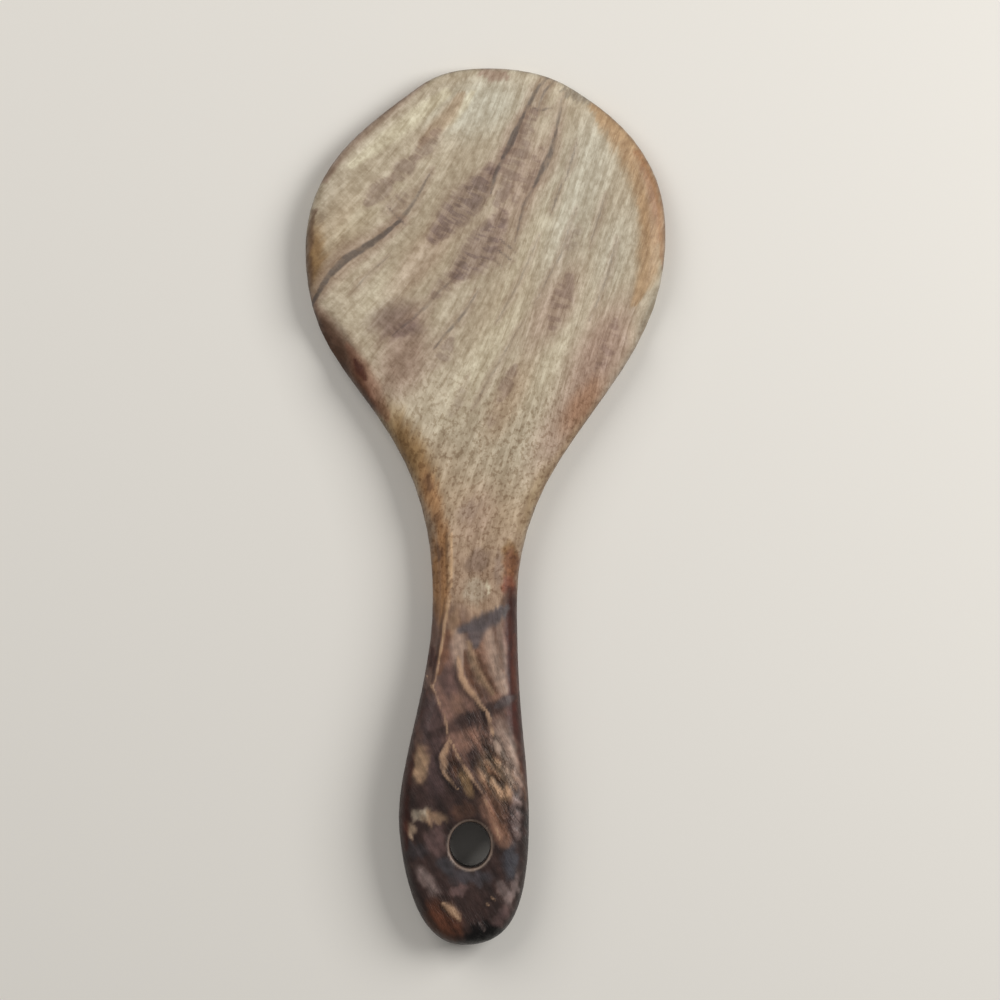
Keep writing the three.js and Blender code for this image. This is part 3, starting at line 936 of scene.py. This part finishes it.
def tinted(tree, colour, value, name):
    """The colour times the named tones, from the first to the second as the value goes from 0 to 1."""
    dark, light = ((*tone, 1.0) for tone in TONES[name])
    return blend(tree, 1.0, colour, blend(tree, value, dark, light), "MULTIPLY")


def broken(tree, field, fray, edge):
    """A soft field whose edge is broken up by a value from 0 to 1."""
    return ramp(tree, maths(tree, "MULTIPLY", field, maths(tree, "ADD", fray, FRAY_BASE)), *edge)


def fibres(tree, grain, across, along, detail):
    """Noise drawn out along the fibres, with so many waves to a millimetre across and along them."""
    scale = (across, along, across * FIBRE_DROP)
    stretched = add_node(tree, "ShaderNodeVectorMath", {0: grain, 1: scale}, operation="MULTIPLY")
    waves = {"Vector": stretched.outputs[0], "Scale": 1.0, "Detail": detail, "Roughness": FIBRE_ROUGHNESS}
    return add_node(tree, "ShaderNodeTexNoise", waves).outputs["Fac"]


def patterns_of(tree, grain):
    """Every fibre pattern by its name, from 0 to 1."""
    patterns = {}
    for name, (across, along, detail, low, high) in FIBRES.items():
        patterns[name] = ramp(tree, fibres(tree, grain, across, along, detail), low, high)
    return patterns


def creases_of(tree, grain):
    """Thin creases where the grain is torn, from 0 to 1."""
    offset = maths(tree, "SUBTRACT", fibres(tree, grain, *CREASE_WAVES), 0.5)
    thin = ramp(tree, maths(tree, "ABSOLUTE", offset), 0.0, CREASE_WIDTH, 1.0, 0.0)
    return maths(tree, "MULTIPLY", thin, attribute(tree, "torn"))


def grained(tree, colour, patterns, heart):
    """The colour with mottle and fibres in it, less of them in the heartwood, and flames there instead."""
    mottled = tinted(tree, colour, patterns["mottle"], "mottle")
    colour = blend(tree, scaled(tree, heart, 1.0, HEART_MOTTLE), colour, mottled)
    lined = colour
    for name in ("streaks", "threads", "dashes"):
        lined = tinted(tree, lined, patterns[name], name)
    colour = blend(tree, scaled(tree, heart, 1.0, HEART_LINES), colour, lined)
    return tinted(tree, colour, maths(tree, "MULTIPLY", patterns["flames"], heart), "flames")


def figured(tree, colour, patterns):
    """The colour with combed patches, dark lines, pale flakes and specks laid over it."""
    patch = attribute(tree, "patch")
    combed = scaled(tree, patterns["bars"], *COMB_RANGE)
    colour = tinted(tree, colour, broken(tree, patch, combed, PATCH_EDGE), "patch")
    colour = tinted(tree, colour, broken(tree, patch, combed, CORE_EDGE), "patch_core")
    for name, (fray, edge, strength, paint_name) in DRAWN.items():
        drawn = broken(tree, attribute(tree, name), scaled(tree, patterns["mottle"], *fray), edge)
        pigment = (*linear(COLOURS[paint_name]), 1.0)
        colour = blend(tree, maths(tree, "MULTIPLY", drawn, strength), colour, pigment)
    speck = maths(tree, "MULTIPLY", patterns["specks"], attribute(tree, "speckle"))
    return tinted(tree, colour, speck, "specks")


def fine_relief(tree, patterns, creases):
    """Normals bent by the threads and the mottle, and by the creases."""
    threads = maths(tree, "MULTIPLY", patterns["threads"], THREAD_HEIGHT)
    height = maths(tree, "ADD", threads, patterns["mottle"])
    fine = add_node(tree, "ShaderNodeBump", {"Height": height, **FINE_BUMP})
    folds = {"Height": creases, "Normal": fine.outputs["Normal"], **FOLD_BUMP}
    return add_node(tree, "ShaderNodeBump", folds, invert=True).outputs["Normal"]


def lacquered_wood():
    material = bpy.data.materials.new("lacquered_wood")
    material.use_nodes = True
    tree = material.node_tree
    grain = attribute(tree, "grain", "Vector")
    patterns = patterns_of(tree, grain)
    creases = creases_of(tree, grain)
    colour = grained(tree, attribute(tree, "ground", "Color"), patterns, attribute(tree, "heart"))
    # Painted shade in the creases of the torn grain
    colour = tinted(tree, figured(tree, colour, patterns), creases, "creases")
    shader = tree.nodes["Principled BSDF"]
    tree.links.new(colour, shader.inputs["Base Color"])
    tree.links.new(scaled(tree, patterns["mottle"], *ROUGHNESS), shader.inputs["Roughness"])
    tree.links.new(fine_relief(tree, patterns, creases), shader.inputs["Normal"])
    for name, value in LACQUER.items():
        shader.inputs[name].default_value = value
    return material


def pale_floor():
    material = bpy.data.materials.new("pale_floor")
    material.use_nodes = True
    shader = material.node_tree.nodes["Principled BSDF"]
    shader.inputs["Base Color"].default_value = (*linear(FLOOR_COLOUR), 1.0)
    shader.inputs["Roughness"].default_value = FLOOR_ROUGHNESS
    return material


def add_floor():
    mesh = bpy.data.meshes.new("floor")
    corners = [(-1, -1), (1, -1), (1, 1), (-1, 1)]
    mesh.from_pydata([(x * FLOOR_HALF, y * FLOOR_HALF, 0) for x, y in corners], [], [(0, 1, 2, 3)])
    mesh.materials.append(pale_floor())
    floor = bpy.data.objects.new("floor", mesh)
    bpy.context.scene.collection.objects.link(floor)


def add_lamp(name, place, power, size, tint):
    lamp = bpy.data.lights.new(name, "AREA")
    lamp.energy = power
    lamp.size = size
    lamp.color = tint
    holder = bpy.data.objects.new(name, lamp)
    holder.location = place
    holder.rotation_euler = (-Vector(place)).to_track_quat("-Z", "Y").to_euler()
    bpy.context.scene.collection.objects.link(holder)


def add_light():
    world = bpy.data.worlds.new("soft_room")
    world.use_nodes = True
    background = world.node_tree.nodes["Background"]
    background.inputs["Color"].default_value = ROOM_COLOUR
    background.inputs["Strength"].default_value = ROOM_STRENGTH
    bpy.context.scene.world = world
    for lamp in LAMPS:
        add_lamp(*lamp)


def add_camera():
    camera = bpy.data.cameras.new("camera")
    camera.lens = LENS
    camera.sensor_width = SENSOR
    holder = bpy.data.objects.new("camera", camera)
    distance = VIEW_WIDTH * LENS / SENSOR
    holder.location = Vector((*VIEW_CENTRE, OUTLINE_HEIGHT + distance)) * MM
    bpy.context.scene.collection.objects.link(holder)
    bpy.context.scene.camera = holder


add_camera()
add_floor()
add_light()

spoon = fine_body()
dress(spoon)
spoon.data.materials.clear()
spoon.data.materials.append(lacquered_wood())
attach(spoon, "root")
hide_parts(SPOON)

bpy.context.scene.view_settings.view_transform = "Standard"
